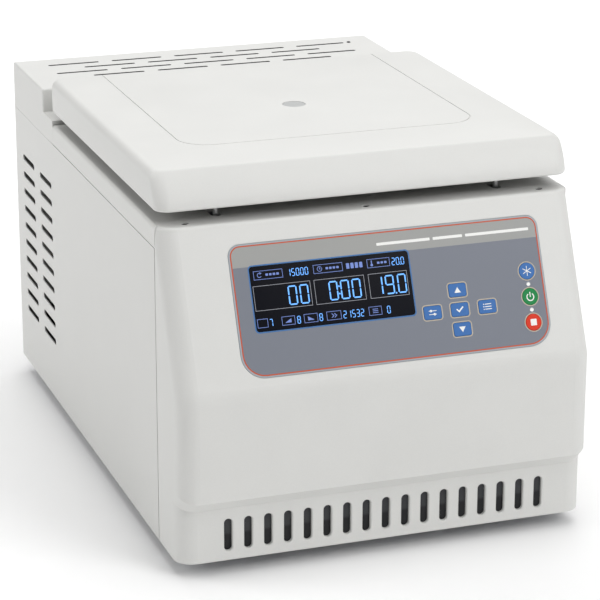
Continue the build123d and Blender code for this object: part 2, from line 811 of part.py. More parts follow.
def ring(x, y, radius, turns):
    """Points round a centre at the given angles in degrees."""
    angles = [math.radians(a) for a in turns]
    return [(x + radius * math.cos(a), y + radius * math.sin(a)) for a in angles]


MOUNTS = ring(0, AXIS_Y, MOUNT_R, MOUNT_TURNS)
COMPRESSOR_FEET = ring(COMPRESSOR_X, COMPRESSOR_Y, 58.0, (0, 120, 240))

with BuildPart() as motor_bracket:
    add(turned([(40, PAN_Z), (104, PAN_Z), (104, PAN_Z + 4), (40, PAN_Z + 4)]))
    for x, y in MOUNTS:
        add(post(11, x, y, (PAN_Z + 4, MOUNT_Z[0])))
save(motor_bracket, "motor_bracket")

with BuildPart() as rubber_mounts:
    for x, y in MOUNTS:
        low, high = MOUNT_Z
        add(turned([(0, low), (13, low), (11, (low + high) / 2), (13, high), (0, high)], x, y))
    for x, y in COMPRESSOR_FEET:
        add(turned([(0, PAN_Z), (11, PAN_Z), (9, 23), (11, 29), (0, 29)], x, y))
save(rubber_mounts, "rubber_mounts")

with BuildPart() as motor_housing:
    add(
        turned(
            [
                (0, MOTOR_BOTTOM),
                (MOTOR_R, MOTOR_BOTTOM),
                (MOTOR_R, MOUNT_Z[1]),
                (98, MOUNT_Z[1]),
                (98, MOUNT_Z[1] + 6),
                (24, MOUNT_Z[1] + 6),
                (24, 137),
                (SPINDLE_R + 1.5, 137),
                (SPINDLE_R + 1.5, 118),
                (SEAT_R, 118),
                (SEAT_R, 104),
                (MOTOR_IN_R, 104),
                (MOTOR_IN_R, 46),
                (SEAT_R, 46),
                (SEAT_R, 34),
                (0, 34),
            ]
        )
    )
save(motor_housing, "motor_housing")

with BuildPart() as motor_bearings:
    for low in (34.4, 105.6):
        outline = [(SPINDLE_R + RUNNING, low), (SEAT_R - RUNNING, low)]
        add(turned(outline + [(r, low + BEARING_H) for r, _ in reversed(outline)]))
save(motor_bearings, "motor_bearings")

with BuildPart() as motor_stator:
    outer = MOTOR_IN_R - 0.1
    add(turned([(34, 50), (55, 50), (outer, 58), (outer, 92), (55, 100), (34, 100)]))
save(motor_stator, "motor_stator")

with BuildPart() as motor_shaft:
    add(
        turned(
            [
                (0, 35),
                (SPINDLE_R, 35),
                (SPINDLE_R, 55),
                (33.2, 55),
                (33.2, 95),
                (SPINDLE_R, 95),
                (SPINDLE_R, 236),
                (SPINDLE_R - 2, 238),
                (0, 238),
            ]
        )
    )
save(motor_shaft, "motor_shaft")

# ---------------------------------------------------------------- rotor
BORE_TOP = 240.0
STEM_R = 5.5
with BuildPart() as rotor_body:
    add(
        turned(
            [
                (SPINDLE_R + 0.1, ROTOR_FLOOR),
                (22, ROTOR_FLOOR),
                (26, ROTOR_FLOOR + 12),
                (60, ROTOR_FLOOR + 12),
                (64, ROTOR_FLOOR),
                (86, ROTOR_FLOOR),
                (96, ROTOR_FLOOR + 12),
                (96, 200),
                (61, ROTOR_TOP),
                (16, ROTOR_TOP),
                (15, ROTOR_TOP + 4),
                (STEM_R + 0.7, ROTOR_TOP + 4),
                (STEM_R + 0.7, BORE_TOP),
                (SPINDLE_R + 0.1, BORE_TOP),
            ]
        )
    )
    for turn in range(TUBES):
        mouth = (
            Pos(0, AXIS_Y, ROTOR_TOP)
            * Rot(0, 0, 360 / TUBES * turn)
            * Pos(MOUTH_R, 0, 0)
            * Rot(0, -TUBE_TILT, 0)
        )
        bore = Cylinder(TUBE_R, 20 + TUBE_DEPTH, mode=Mode.PRIVATE)
        add(mouth * Pos(0, 0, (20 - TUBE_DEPTH) / 2) * bore, mode=Mode.SUBTRACT)
        end = Sphere(TUBE_R, mode=Mode.PRIVATE)
        add(mouth * Pos(0, 0, -TUBE_DEPTH) * end, mode=Mode.SUBTRACT)
save(rotor_body, "rotor_body")

LID_UNDER = ROTOR_TOP + 4 + GAP
with BuildPart() as rotor_lid:
    add(
        turned(
            [
                (STEM_R + 0.5, LID_UNDER),
                (50, LID_UNDER),
                (59, ROTOR_TOP + 0.6),
                (64, ROTOR_TOP + 0.6),
                (64, ROTOR_TOP + 3.4),
                (52, LID_UNDER + 4),
                (20, LID_UNDER + 8),
                (STEM_R + 0.5, LID_UNDER + 8),
            ]
        )
    )
save(rotor_lid, "rotor_lid")

KNOB_Z = LID_UNDER + 8 + GAP
with BuildPart() as rotor_knob:
    add(
        turned(
            [
                (0, 252),
                (STEM_R, 252),
                (STEM_R, KNOB_Z),
                (12, KNOB_Z),
                (18, KNOB_Z + 4),
                (18, KNOB_Z + 16),
                (15, KNOB_Z + 19),
                (0, KNOB_Z + 19),
            ]
        )
    )
    with BuildSketch(Plane.XY.offset(KNOB_Z + 3)):
        with Locations((0, AXIS_Y)):
            with PolarLocations(19.5, 12):
                Circle(2.4)
    extrude(amount=20, mode=Mode.SUBTRACT)
save(rotor_knob, "rotor_knob")

# ---------------------------------------------------------------- refrigeration
with BuildPart() as compressor:
    with BuildSketch(Plane.XY.offset(33)):
        with Locations((COMPRESSOR_X, COMPRESSOR_Y)):
            Circle(COMPRESSOR_R)
    extrude(amount=160)
    fillet(compressor.edges().group_by(Axis.Z)[-1], 22)
    fillet(compressor.edges().group_by(Axis.Z)[0], 10)
    with BuildSketch(Plane.XY.offset(29)):
        with Locations((COMPRESSOR_X, COMPRESSOR_Y)):
            Circle(46)
        with Locations(*COMPRESSOR_FEET):
            Circle(12)
        make_hull()
    extrude(amount=4)
    add(post(4, COMPRESSOR_X, COMPRESSOR_Y, (190, 200)))
save(compressor, "compressor")

COND_X, COND_Y, COND_Z = (-34.0, 172.0), (232.0, 262.0), (30.0, 226.0)
FIN_PITCH = 6.0
with BuildPart() as condenser:
    add(block(COND_X, COND_Y, COND_Z))
    with BuildSketch(Plane.XY.offset(COND_Z[1])):
        with Locations(((COND_X[0] + COND_X[1]) / 2, COND_Y[1])):
            with GridLocations(FIN_PITCH, 0, 32, 1):
                Rectangle(FIN_PITCH - 1.6, 36)
    extrude(amount=COND_Z[0] - COND_Z[1], mode=Mode.SUBTRACT)
save(condenser, "condenser")

FAN_PLANE = Plane(origin=(FAN_X, FAN_FRONT, FAN_Z), x_dir=(-1, 0, 0), z_dir=(0, 1, 0))
FAN_HUB_R, FAN_TIP_R = 20.0, 56.0
FAN_HOLES, FAN_BLADES = 105.0, 7
with BuildPart() as fan_frame:
    with BuildSketch(FAN_PLANE):
        RectangleRounded(FAN_SIZE, FAN_SIZE, 5)
        Circle(FAN_TIP_R + 2, mode=Mode.SUBTRACT)
        with GridLocations(FAN_HOLES, FAN_HOLES, 2, 2):
            Circle(2.2, mode=Mode.SUBTRACT)
    extrude(amount=FAN_BACK - FAN_FRONT)
    with BuildSketch(FAN_PLANE):
        Circle(FAN_HUB_R)
        with PolarLocations(FAN_TIP_R / 2 + 10, 4, start_angle=45):
            Rectangle(48, 4)
    extrude(amount=3)
    with BuildSketch(FAN_PLANE.offset(3)):
        Circle(2)
    extrude(amount=8)
save(fan_frame, "fan_frame")

with BuildPart() as fan_impeller:
    with BuildSketch(FAN_PLANE.offset(3.5)):
        Circle(FAN_HUB_R - 1)
        Circle(2 + RUNNING, mode=Mode.SUBTRACT)
    extrude(amount=19)
    for turn in range(FAN_BLADES):
        add(
            Pos(FAN_X, FAN_FRONT + 13, FAN_Z)
            * Rot(0, 360 / FAN_BLADES * turn, 0)
            * Pos((FAN_HUB_R + FAN_TIP_R) / 2 - 3, 0, 0)
            * Rot(40, 0, 0)
            * Box(FAN_TIP_R - FAN_HUB_R, 1.6, 22, mode=Mode.PRIVATE)
        )
save(fan_impeller, "fan_impeller")

with BuildPart() as fan_grille:
    with BuildSketch(BACK):
        with Locations((-FAN_X, FAN_Z)):
            for radius in (12, 24, 36, 48, 60):
                Circle(radius + 0.9)
                Circle(radius - 0.9, mode=Mode.SUBTRACT)
            with PolarLocations(36, 4, start_angle=45):
                Rectangle(50, 2)
            with PolarLocations(63.5, 4, start_angle=45):
                Circle(3)
    extrude(amount=2)
save(fan_grille, "fan_grille")

DRIER = (-8.0, 178.0)
DRIER_R = 11.0
PIPE_R = 3.2
BEND_R = 9.0
PIPE_RUNS = [
    [
        (COMPRESSOR_X, COMPRESSOR_Y, 200),
        (COMPRESSOR_X, COMPRESSOR_Y, 246),
        (-20, COMPRESSOR_Y, 246),
        (-20, COMPRESSOR_Y, 214),
    ],
    [(DRIER[0], 224, 42), (*DRIER, 42), (*DRIER, 61)],
    [(*DRIER, 149), (*DRIER, 262), (DRIER[0], 128, 262)],
]
with BuildPart() as refrigerant_pipes:
    for run in PIPE_RUNS:
        with BuildLine():
            path = FilletPolyline(*run, radius=BEND_R)
        with BuildSketch(Plane(origin=path @ 0, z_dir=path % 0)):
            Circle(PIPE_R)
        sweep(path=path)
    outline = [(0, 60), (3.5, 60), (DRIER_R, 72), (DRIER_R, 138), (3.5, 150), (0, 150)]
    add(turned(outline, *DRIER))
save(refrigerant_pipes, "refrigerant_pipes")

# ---------------------------------------------------------------- control panel
with BuildPart() as keypad_panel:
    with BuildSketch(on_face(-PANEL_RECESS)) as outline:
        with Locations((PANEL_X, -PANEL_S)):
            Rectangle(PANEL_W, PANEL_H)
        fillet(outline.vertices().group_by(Axis.Y)[-1], PANEL_TOP_R)
        fillet(outline.vertices().group_by(Axis.Y)[0], PANEL_BOTTOM_R)
        with Locations((WINDOW_X, -WINDOW_S)):
            RectangleRounded(WINDOW_W, WINDOW_H, 3, mode=Mode.SUBTRACT)
        for x, s in OBLONG_KEYS.values():
            with Locations((x, -s)):
                RectangleRounded(KEY_W + 2 * KEY_FIT, KEY_H + 2 * KEY_FIT, 2.3, mode=Mode.SUBTRACT)
        for x, s in ROUND_KEYS.values():
            with Locations((x, -s)):
                Circle(ROUND_KEY_R + KEY_FIT, mode=Mode.SUBTRACT)
        with Locations(*[(LED_X, -s) for s in LED_S]):
            Circle(LED_R + 0.1, mode=Mode.SUBTRACT)
    extrude(amount=PANEL_RECESS + PANEL_PROUD)
save(keypad_panel, "keypad_panel")

with BuildPart() as display_window:
    with BuildSketch(on_face(-PANEL_RECESS)):
        with Locations((WINDOW_X, -WINDOW_S)):
            RectangleRounded(WINDOW_W - 0.3, WINDOW_H - 0.3, 2.8)
    extrude(amount=PANEL_RECESS + 0.1)
save(display_window, "display_window")

with BuildPart() as display_module:
    with BuildSketch(on_face(-11.8)):
        with Locations((WINDOW_X, -WINDOW_S)):
            Rectangle(WINDOW_W - 6, WINDOW_H - 6)
    extrude(amount=10.4)
save(display_module, "display_module")

BOARD_BACK, BOARD_FRONT = -13.6, -12.0   # control board, from the slanted face
SWITCH_TOP = -6.9
with BuildPart() as control_board:
    with BuildSketch(on_face(BOARD_BACK)):
        with Locations((PANEL_X, -PANEL_S)):
            RectangleRounded(278, 106, 3)
    extrude(amount=BOARD_FRONT - BOARD_BACK)
    with BuildSketch(on_face(BOARD_FRONT)):
        for x, s in list(OBLONG_KEYS.values()) + list(ROUND_KEYS.values()):
            with Locations((x, -s)):
                Circle(3)
    extrude(amount=SWITCH_TOP - BOARD_FRONT)
    with BuildSketch(on_face(BOARD_BACK)):
        with Locations((-60, -118), (0, -118)):
            Rectangle(24, 14)
    extrude(amount=-6)
save(control_board, "control_board")

with BuildPart() as indicator_leds:
    with BuildSketch(on_face(BOARD_FRONT)):
        with Locations(*[(LED_X, -s) for s in LED_S]):
            Circle(LED_R)
    extrude(amount=PANEL_PROUD - BOARD_FRONT)
save(indicator_leds, "indicator_leds")


FLANGE_BACK, FLANGE_T = -2.3, 0.8     # key's retaining flange, from the slanted face
STEM_BACK = -6.0


def key(x, s, oblong):
    """Key cap with a retaining flange behind the panel and a stem to its switch."""
    with BuildPart() as cap:
        with BuildSketch(on_face(FLANGE_BACK)):
            with Locations((x, -s)):
                if oblong:
                    RectangleRounded(KEY_W, KEY_H, 2)
                else:
                    Circle(ROUND_KEY_R)
        extrude(amount=KEY_TOP - FLANGE_BACK)
        fillet(cap.faces().sort_by(Axis((0, 0, 0), FACE.z_dir))[-1].edges(), 0.4)
        with BuildSketch(on_face(FLANGE_BACK)):
            with Locations((x, -s)):
                if oblong:
                    RectangleRounded(KEY_W + 2, KEY_H + 2, 2.6)
                else:
                    Circle(ROUND_KEY_R + 1)
        extrude(amount=FLANGE_T)
        with BuildSketch(on_face(STEM_BACK)):
            with Locations((x, -s)):
                Circle(2.2)
        extrude(amount=4.0)
    return cap


for name, (x, s) in OBLONG_KEYS.items():
    save(key(x, s, True), name)
for name, (x, s) in ROUND_KEYS.items():
    save(key(x, s, False), name)

# ---------------------------------------------------------------- power electronics
BOARD_Z = (27.0, 28.8)
CAPACITOR_R = 15.0
SINK_X, SINK_Y, SINK_BASE, SINK_TOP = (44.0, 104.0), (-270.0, -214.0), 34.0, 62.0
SINK_FINS, SINK_PITCH, SINK_FIN = 11, 5.8, 2.0
with BuildPart() as inverter_board:
    add(block((-150, 150), (-278, -206), BOARD_Z))
    for x in (-140, -110, 110, 140):
        add(post(3, x, -242, (PAN_Z, BOARD_Z[0])))
    for x in (-120, -84, -48):
        add(post(CAPACITOR_R, x, -246, (BOARD_Z[1], 74)))
    add(block((-20, 30), (-268, -222), (BOARD_Z[1], 62)))
    add(block((112, 142), (-262, -226), (BOARD_Z[1], 50)))
    add(block(SINK_X, SINK_Y, (BOARD_Z[1], SINK_BASE)))
    for i in range(SINK_FINS):
        x = SINK_X[0] + SINK_PITCH * i
        add(block((x, x + SINK_FIN), SINK_Y, (SINK_BASE, SINK_TOP)))
save(inverter_board, "inverter_board")

# ---------------------------------------------------------------- mains inlet and switch
INLET_FLANGE = 2.5
SOCKET_W, SOCKET_H, SOCKET_DEPTH = 24.6, 16.6, 19.0
with BuildPart() as power_inlet:
    with BuildSketch(BACK):
        with Locations((-INLET_X, SOCKET_Z)):
            RectangleRounded(34, 27, 3)
    extrude(amount=INLET_FLANGE)
    with BuildSketch(BACK):
        with Locations((-INLET_X, SOCKET_Z)):
            Rectangle(SOCKET_W + 3, SOCKET_H + 4)
    extrude(amount=-24)
    with BuildSketch(BACK.offset(INLET_FLANGE)):
        with Locations((-INLET_X, SOCKET_Z)):
            Rectangle(SOCKET_W, SOCKET_H)
    extrude(amount=-SOCKET_DEPTH, mode=Mode.SUBTRACT)
    with BuildSketch(BACK.offset(INLET_FLANGE - SOCKET_DEPTH)):
        for x, z in ((-7, -1), (0, 3), (7, -1)):
            with Locations((-INLET_X + x, SOCKET_Z + z)):
                Rectangle(2, 5)
    extrude(amount=13)
save(power_inlet, "power_inlet")

ROCKER_AXIS_Y = REAR_PANEL_Y - 4.0
ROCKER_TILT = 7.0
SWITCH_FLANGE = 1.6
ROCKER_HALF, ROCKER_W = 10.6, 14.4
with BuildPart() as power_switch:
    with BuildSketch(BACK):
        with Locations((-SWITCH_X, SOCKET_Z)):
            RectangleRounded(24, 32, 2)
    extrude(amount=SWITCH_FLANGE)
    with BuildSketch(BACK):
        with Locations((-SWITCH_X, SOCKET_Z)):
            Rectangle(19.6, 27.6)
    extrude(amount=-20)
    with BuildSketch(BACK.offset(SWITCH_FLANGE)):
        with Locations((-SWITCH_X, SOCKET_Z)):
            Rectangle(15, 24)
    extrude(amount=-13, mode=Mode.SUBTRACT)
save(power_switch, "power_switch")

with BuildPart() as rocker_blank:
    with BuildSketch(Plane.YZ.offset(SWITCH_X)):
        with BuildLine():
            Polyline(
                (ROCKER_AXIS_Y - 3, SOCKET_Z - 7),
                (ROCKER_AXIS_Y + 5.5, SOCKET_Z - ROCKER_HALF),
                (ROCKER_AXIS_Y + 4.2, SOCKET_Z),
                (ROCKER_AXIS_Y + 5.5, SOCKET_Z + ROCKER_HALF),
                (ROCKER_AXIS_Y - 3, SOCKET_Z + 7),
                close=True,
            )
        make_face()
    extrude(amount=ROCKER_W / 2, both=True)
with BuildPart() as power_rocker:
    add(rocker_blank.part.rotate(Axis((SWITCH_X, ROCKER_AXIS_Y, SOCKET_Z), (1, 0, 0)), ROCKER_TILT))
save(power_rocker, "power_rocker")
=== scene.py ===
import json
import math

import bpy
from mathutils import Matrix, Vector
from mathutils.geometry import tessellate_polygon


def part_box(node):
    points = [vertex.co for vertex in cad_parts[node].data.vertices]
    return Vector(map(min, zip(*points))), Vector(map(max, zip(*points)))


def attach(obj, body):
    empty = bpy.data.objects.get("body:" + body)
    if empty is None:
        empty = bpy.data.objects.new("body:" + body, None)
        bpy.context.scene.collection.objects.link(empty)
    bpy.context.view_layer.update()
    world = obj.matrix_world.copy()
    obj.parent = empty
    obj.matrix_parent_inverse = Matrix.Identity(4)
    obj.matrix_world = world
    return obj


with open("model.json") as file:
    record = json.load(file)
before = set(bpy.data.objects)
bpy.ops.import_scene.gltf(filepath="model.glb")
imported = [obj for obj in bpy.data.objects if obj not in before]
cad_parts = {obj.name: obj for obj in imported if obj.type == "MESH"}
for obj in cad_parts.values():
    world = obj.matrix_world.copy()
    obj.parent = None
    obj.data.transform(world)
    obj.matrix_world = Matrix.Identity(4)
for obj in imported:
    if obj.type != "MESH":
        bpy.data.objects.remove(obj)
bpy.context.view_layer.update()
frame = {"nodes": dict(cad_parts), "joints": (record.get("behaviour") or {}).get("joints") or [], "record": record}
nodes = frame["nodes"]
record = frame["record"]
MM = 0.001
NOISE_LOW, NOISE_HIGH = 0.3, 0.7    # the range that a noise texture's values mostly keep to
FINE_SHARE = 0.45                   # share of the fine grain in a surface's changes of colour
CLOUDS = 14.0                       # slow changes along a metre of surface
BUMP_STRENGTH = 0.4


# ---------------------------------------------------------------- materials
def new_material(name):
    """An empty node material: (material, node tree, shader, object coordinates in metres)."""
    material = bpy.data.materials.new(name)
    material.use_nodes = True
    tree = material.node_tree
    shader = tree.nodes["Principled BSDF"]
    place = tree.nodes.new("ShaderNodeTexCoord")
    return material, tree, shader, place.outputs["Object"]


def noise(tree, vector, scale, detail=3.0, rough=0.55, stretch=None):
    """Noise texture of that many cells a metre, stretched along an axis if asked."""
    if stretch is not None:
        mapping = tree.nodes.new("ShaderNodeMapping")
        mapping.inputs["Scale"].default_value = stretch
        tree.links.new(vector, mapping.inputs["Vector"])
        vector = mapping.outputs["Vector"]
    texture = tree.nodes.new("ShaderNodeTexNoise")
    texture.inputs["Scale"].default_value = scale
    texture.inputs["Detail"].default_value = detail
    texture.inputs["Roughness"].default_value = rough
    tree.links.new(vector, texture.inputs["Vector"])
    return texture.outputs["Fac"]


def remap(tree, value, low, high, start=NOISE_LOW, end=NOISE_HIGH):
    """Maps start..end, a noise's usual range if not given, to low..high."""
    node = tree.nodes.new("ShaderNodeMapRange")
    node.inputs["From Min"].default_value = start
    node.inputs["From Max"].default_value = end
    node.inputs["To Min"].default_value = low
    node.inputs["To Max"].default_value = high
    tree.links.new(value, node.inputs["Value"])
    return node.outputs["Result"]


def tint(tree, value, dark, light):
    """Colour between dark and light by a noise value."""
    ramp = tree.nodes.new("ShaderNodeValToRGB")
    ramp.color_ramp.elements[0].position = NOISE_LOW
    ramp.color_ramp.elements[0].color = (*dark, 1)
    ramp.color_ramp.elements[1].position = NOISE_HIGH
    ramp.color_ramp.elements[1].color = (*light, 1)
    tree.links.new(value, ramp.inputs["Fac"])
    return ramp.outputs["Color"]


def bump(tree, shader, height, distance):
    """Adds a bump of that depth in metres."""
    node = tree.nodes.new("ShaderNodeBump")
    node.inputs["Strength"].default_value = BUMP_STRENGTH
    node.inputs["Distance"].default_value = distance
    tree.links.new(height, node.inputs["Height"])
    tree.links.new(node.outputs["Normal"], shader.inputs["Normal"])


def shade(colour, factor):
    """The colour, darker or lighter by that factor."""
    return tuple(min(1.0, c * factor) for c in colour)


def surface(
    name,
    colour,
    roughness,
    spread=0.06,
    variation=0.03,
    grain=900.0,
    depth=0.00006,
    metallic=0.0,
    coat=0.0,
    stretch=None,
    specular=0.5,
):
    """Grained surface: fine grain in the bump, and slow changes in colour and roughness."""
    material, tree, shader, place = new_material(name)
    clouds = noise(tree, place, CLOUDS, 4.0)
    fine = noise(tree, place, grain, 2.0, 0.6, stretch)
    mixed = tree.nodes.new("ShaderNodeMath")
    mixed.operation = "MULTIPLY_ADD"
    mixed.inputs[1].default_value = FINE_SHARE
    tree.links.new(fine, mixed.inputs[0])
    scaled = tree.nodes.new("ShaderNodeMath")
    scaled.operation = "MULTIPLY"
    scaled.inputs[1].default_value = 1 - FINE_SHARE
    tree.links.new(clouds, scaled.inputs[0])
    tree.links.new(scaled.outputs[0], mixed.inputs[2])
    hue = tint(tree, mixed.outputs[0], shade(colour, 1 - variation), shade(colour, 1 + variation))
    tree.links.new(hue, shader.inputs["Base Color"])
    tree.links.new(
        remap(tree, mixed.outputs[0], roughness - spread, roughness + spread),
        shader.inputs["Roughness"],
    )
    bump(tree, shader, fine, depth)
    shader.inputs["Metallic"].default_value = metallic
    shader.inputs["Coat Weight"].default_value = coat
    shader.inputs["Specular IOR Level"].default_value = specular
    return material


LIT_GRAIN, LIT_DARKEST, LIT_LIGHTEST, LIT_ROUGHNESS = 400.0, 0.93, 1.05, 0.4


def glowing(name, colour, strength):
    """Lit parts of the display."""
    material, tree, shader, place = new_material(name)
    grain = noise(tree, place, LIT_GRAIN)
    hue = tint(tree, grain, shade(colour, LIT_DARKEST), shade(colour, LIT_LIGHTEST))
    tree.links.new(hue, shader.inputs["Base Color"])
    tree.links.new(hue, shader.inputs["Emission Color"])
    shader.inputs["Emission Strength"].default_value = strength
    shader.inputs["Roughness"].default_value = LIT_ROUGHNESS
    return material


def metal(name, colour, roughness, **finish):
    """Bare or plated metal."""
    return surface(name, colour, roughness, metallic=1.0, **finish)


def film(name, colour, **finish):
    """Satin film or ink: almost even, with a very fine tooth."""
    settings = {
        "roughness": 0.4,
        "grain": 1500,
        "depth": 0.00002,
        "variation": 0.015,
        "specular": 0.2,
    }
    return surface(name, colour, **(settings | finish))


FOAM_CELLS, FOAM_DETAIL, FOAM_ROUGH, FOAM_DEPTH = 900.0, 3.0, 0.7, 0.0006
# painted shade: the darker colour goes on the foam's lower half, the lighter one on its upper half
FOAM_SHADED, FOAM_LIGHTER = (0.008, 0.008, 0.009), (0.045, 0.046, 0.05)
FOAM_EDGE = 2 * MM          # half the height over which one colour passes into the other
FOAM_STEP = 0.25, 0.75      # how far each half lies towards the lighter colour
FOAM_UNEVEN = 0.25          # how far the cells shift it


def filter_material():
    """Open foam with painted shade: its lower half, which lies against the dark pan, is darker than its upper
    half.
    """
    material, tree, shader, place = new_material("filter_foam")
    low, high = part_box("air_filter")
    middle = (low[2] + high[2]) / 2
    axes = tree.nodes.new("ShaderNodeSeparateXYZ")
    tree.links.new(place, axes.inputs["Vector"])
    rise = remap(tree, axes.outputs["Z"], *FOAM_STEP, middle - FOAM_EDGE, middle + FOAM_EDGE)
    cells = noise(tree, place, FOAM_CELLS, FOAM_DETAIL, FOAM_ROUGH)
    uneven = tree.nodes.new("ShaderNodeMath")
    uneven.operation = "MULTIPLY_ADD"
    uneven.inputs[1].default_value = FOAM_UNEVEN
    tree.links.new(cells, uneven.inputs[0])
    tree.links.new(rise, uneven.inputs[2])
    hue = tint(tree, uneven.outputs[0], FOAM_SHADED, FOAM_LIGHTER)
    tree.links.new(hue, shader.inputs["Base Color"])
    tree.links.new(remap(tree, cells, 0.8, 0.98), shader.inputs["Roughness"])
    bump(tree, shader, cells, FOAM_DEPTH)
    return material


OFF_WHITE = (0.68, 0.68, 0.66)
LACQUER = {"grain": 1100, "depth": 0.00008}
TURNED = {"grain": 900, "stretch": (1, 1, 8)}
MATERIALS = {
    "moulding": surface("textured_moulding", OFF_WHITE, 0.5, **LACQUER),
    "deck_paint": surface("textured_deck", shade(OFF_WHITE, 0.99), 0.5, **LACQUER),
    "panel_paint": surface("powder_coat", shade(OFF_WHITE, 0.97), 0.46, grain=800, depth=0.0001),
    "port_cap": surface("port_cap", (0.47, 0.48, 0.475), 0.3, grain=600, depth=0.00002),
    "liner_plastic": surface("liner", (0.40, 0.40, 0.39), 0.5),
    "zinc_steel": metal("zinc_plate", (0.55, 0.56, 0.58), 0.38, grain=300, variation=0.08),
    "bright_steel": metal("turned_steel", (0.62, 0.62, 0.63), 0.26, **TURNED),
    "stainless": metal("spun_stainless", (0.72, 0.72, 0.73), 0.42, grain=500, stretch=(1, 1, 12)),
    "spring_steel": metal("spring_wire", (0.28, 0.28, 0.30), 0.35, grain=700),
    "dark_screws": metal("black_oxide", (0.05, 0.05, 0.052), 0.4, variation=0.2),
    "rubber": surface("black_rubber", (0.022, 0.022, 0.023), 0.68, depth=0.0001, variation=0.15),
    "filter_foam": filter_material(),
    "insulation_foam": surface("rigid_foam", (0.72, 0.62, 0.38), 0.85, depth=0.0004, variation=0.1),
    "copper": metal("copper_tube", (0.70, 0.34, 0.20), 0.3, grain=300, variation=0.15),
    "motor_aluminium": metal("cast_aluminium", (0.50, 0.51, 0.52), 0.5, grain=500, depth=0.0002),
    "winding": surface("varnished_copper", (0.42, 0.16, 0.06), 0.35, stretch=(1, 1, 6), coat=0.4),
    "rotor_aluminium": surface("anodised_rotor", (0.075, 0.08, 0.09), 0.34, metallic=0.8, **TURNED),
    "knob_black": surface("knob_plastic", (0.02, 0.02, 0.021), 0.42, variation=0.1),
    "black_paint": surface("black_enamel", (0.012, 0.012, 0.013), 0.28, coat=0.3, variation=0.2),
    "fin_aluminium": metal("fin_aluminium", (0.62, 0.63, 0.64), 0.36, grain=600),
    "black_plastic": surface("black_plastic", (0.016, 0.016, 0.017), 0.48, variation=0.15),
    "grille_wire": metal("plated_wire", (0.55, 0.55, 0.56), 0.22, grain=700),
    "panel_film": film("film_rim", (0.36, 0.39, 0.42), roughness=0.36),
    "display_glass": surface(
        "display_glass", (0.002, 0.0025, 0.006), 0.2, spread=0.02, depth=0.00001, specular=0.05
    ),
    "display_body": surface("display_body", (0.03, 0.03, 0.032), 0.5),
    "circuit_board": surface("solder_mask", (0.012, 0.09, 0.035), 0.35, grain=500, variation=0.2),
    "led_lens": surface("led_lens", (0.88, 0.88, 0.86), 0.25, grain=500, depth=0.00002),
    "key_blue": film("blue_key", (0.045, 0.155, 0.42), roughness=0.36),
    "key_green": film("green_key", (0.005, 0.22, 0.055), roughness=0.36),
    "key_red": film("red_key", (0.66, 0.032, 0.008), roughness=0.36),
}
for entry in record["subparts"]:
    mesh = nodes[entry["node"]].data
    mesh.materials.clear()
    mesh.materials.append(MATERIALS[entry["material_slot"]])

BAND_GREY = film("film_band", (0.345, 0.348, 0.338))
FIELD_GREY = film("film_field", (0.197, 0.212, 0.25))
ORANGE = film("film_orange", (0.54, 0.085, 0.03))
BEIGE = film("film_beige", (0.52, 0.46, 0.37))
WINDOW_BLUE = film("film_blue", (0.06, 0.17, 0.40))
WHITE_INK = film("white_ink", (0.86, 0.86, 0.84))
LCD_BRIGHT = glowing("lcd_bright", (0.10, 0.33, 0.80), 0.9)
LCD_DIM = glowing("lcd_dim", (0.10, 0.16, 0.42), 0.5)
LCD_GREY = glowing("lcd_grey", (0.24, 0.25, 0.28), 0.35)


# painted shade: a dark colour for the slot walls, standing in for the shade inside the slots
SLOT_PAINTED_SHADE = (0.06, 0.06, 0.062)
UPRIGHT = 0.2               # a wall's normal rises less than this
TOP_SKIN = 0.1 * MM         # faces this near the top belong to the top
WELD = 0.02 * MM            # vertices this near each other are one


def darken_slots(node, name, margin, front):
    """Paints shade onto the walls of the air slots in a node's flat top, as a darker material.

    The slots are less than margin mm deep and stay that far from the sides and the back. They
    start front mm behind the node's front.
    """
    mesh = nodes[node].data
    mesh.materials.append(surface(name, SLOT_PAINTED_SHADE, 0.8, variation=0.3))
    low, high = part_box(node)
    margin *= MM
    for face in mesh.polygons:
        x, y, z = face.center
        upright = abs(face.normal.z) < UPRIGHT
        in_sheet = high[2] - margin < z < high[2] - TOP_SKIN
        in_width = abs(x) < high[0] - margin
        in_depth = low[1] + front * MM < y < high[1] - margin
        if upright and in_sheet and in_width and in_depth:
            face.material_index = 1


def soften(node, limit):
    """Shades a shell's mesh smoothly across edges that turn by less than limit degrees."""
    group = bpy.data.node_groups.new("soften", "GeometryNodeTree")
    for direction in ("INPUT", "OUTPUT"):
        group.interface.new_socket("Geometry", in_out=direction, socket_type="NodeSocketGeometry")
    start = group.nodes.new("NodeGroupInput")
    merge = group.nodes.new("GeometryNodeMergeByDistance")
    merge.inputs["Distance"].default_value = WELD
    drop = group.nodes.new("GeometryNodeRemoveAttribute")
    drop.inputs["Name"].default_value = "custom_normal"
    faces = group.nodes.new("GeometryNodeSetShadeSmooth")
    edges = group.nodes.new("GeometryNodeSetShadeSmooth")
    edges.domain = "EDGE"
    edges.inputs["Shade Smooth"].default_value = False
    angle = group.nodes.new("GeometryNodeInputMeshEdgeAngle")
    sharp = group.nodes.new("FunctionNodeCompare")
    sharp.operation = "GREATER_THAN"
    sharp.inputs["B"].default_value = math.radians(limit)
    end = group.nodes.new("NodeGroupOutput")
    chain = (start, merge, drop, faces, edges, end)
    for before, after in zip(chain, chain[1:]):
        group.links.new(before.outputs["Geometry"], after.inputs["Geometry"])
    group.links.new(angle.outputs["Unsigned Angle"], sharp.inputs["A"])
    group.links.new(sharp.outputs["Result"], edges.inputs["Selection"])
    nodes[node].modifiers.new("soften", "NODES").node_group = group


# painted shade on the walls of the hood's air slots
darken_slots("rear_housing", "slot_wall_painted_shade", margin=3.5, front=79.0)
soften("lid_shell", limit=24)


